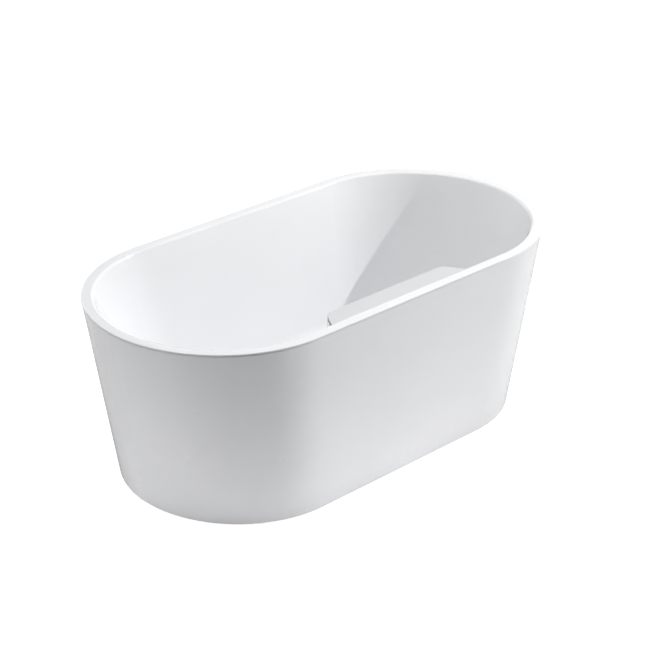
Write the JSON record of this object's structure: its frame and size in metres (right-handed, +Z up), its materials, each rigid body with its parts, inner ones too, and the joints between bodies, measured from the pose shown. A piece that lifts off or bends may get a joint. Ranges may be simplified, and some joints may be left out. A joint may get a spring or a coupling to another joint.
{
  "type": "acrylic bathtub",
  "caption": "Free-standing oval acrylic bathtub: white inner shell with flat rim and tap ledge over a hidden overflow gap, tapered outer skirt, steel frame, levelling feet, floor waste.",
  "frame": {"origin": "on the floor, under the middle of the tub: the centre of the bounding box's bottom", "axes": "+X along the tub's length, +Y across it away from the tap ledge, +Z up"},
  "size_m": [1.5, 0.762, 0.558],
  "materials": {
    "tub_acrylic": "high gloss, white",
    "skirt_acrylic": "high gloss, white",
    "cover_acrylic": "high gloss, white",
    "seam_adhesive": "matt sealant",
    "soft_rubber": "matt black",
    "waste_chrome": "polished",
    "drain_plastic": "satin white",
    "stem_steel": "zinc plated",
    "board_wood": "raw plywood",
    "frame_steel": "satin grey paint",
    "foot_plastic": "matt black"
  },
  "bodies": {
    "tub": {"basin_shell": "tub_acrylic", "outer_skirt": "skirt_acrylic", "rim_bond_bead": "seam_adhesive", "overflow_outlet": "waste_chrome", "overflow_gasket": "soft_rubber", "overflow_back_nut": "drain_plastic", "overflow_pipe": "drain_plastic", "overflow_pipe_nut": "drain_plastic", "tee_inlet_nut": "drain_plastic", "waste_flange": "waste_chrome", "waste_top_gasket": "soft_rubber", "waste_bottom_gasket": "soft_rubber", "waste_lock_nut": "drain_plastic", "drain_tee": "drain_plastic", "tailpiece": "waste_chrome", "base_board": "board_wood", "rail_front": "frame_steel", "rail_back": "frame_steel", "cross_members": "frame_steel", "outriggers": "frame_steel", "tube_end_caps": "foot_plastic", "skirt_battens": "board_wood", "skirt_brackets": "frame_steel", "weld_nuts": "stem_steel", "lock_nuts": "stem_steel"},
    "plug": {"plug_cap": "waste_chrome", "plug_seal": "soft_rubber", "plug_stem": "stem_steel"},
    "ledge_lid": {"ledge_cover": "cover_acrylic", "cover_pads": "soft_rubber"},
    "foot_front_left": {"foot_stem_front_left": "stem_steel", "foot_pad_front_left": "foot_plastic"},
    "foot_front_right": {"foot_stem_front_right": "stem_steel", "foot_pad_front_right": "foot_plastic"},
    "foot_back_left": {"foot_stem_back_left": "stem_steel", "foot_pad_back_left": "foot_plastic"},
    "foot_back_right": {"foot_stem_back_right": "stem_steel", "foot_pad_back_right": "foot_plastic"}
  },
  "joints": [
    {"name": "plug_slide", "type": "slide", "parent": "tub", "child": "plug", "axis": [0, 0, 1], "range_m": [0, 0.01]},
    {"name": "ledge_lid_lift", "type": "slide", "parent": "tub", "child": "ledge_lid", "axis": [0, 0, 1], "range_m": [0, 0.06]},
    {"name": "foot_front_left_height", "type": "slide", "parent": "tub", "child": "foot_front_left", "axis": [0, 0, -1], "range_m": [-0.003, 0.02]},
    {"name": "foot_front_right_height", "type": "slide", "parent": "tub", "child": "foot_front_right", "axis": [0, 0, -1], "range_m": [-0.003, 0.02]},
    {"name": "foot_back_left_height", "type": "slide", "parent": "tub", "child": "foot_back_left", "axis": [0, 0, -1], "range_m": [-0.003, 0.02]},
    {"name": "foot_back_right_height", "type": "slide", "parent": "tub", "child": "foot_back_right", "axis": [0, 0, -1], "range_m": [-0.003, 0.02]}
  ]
}
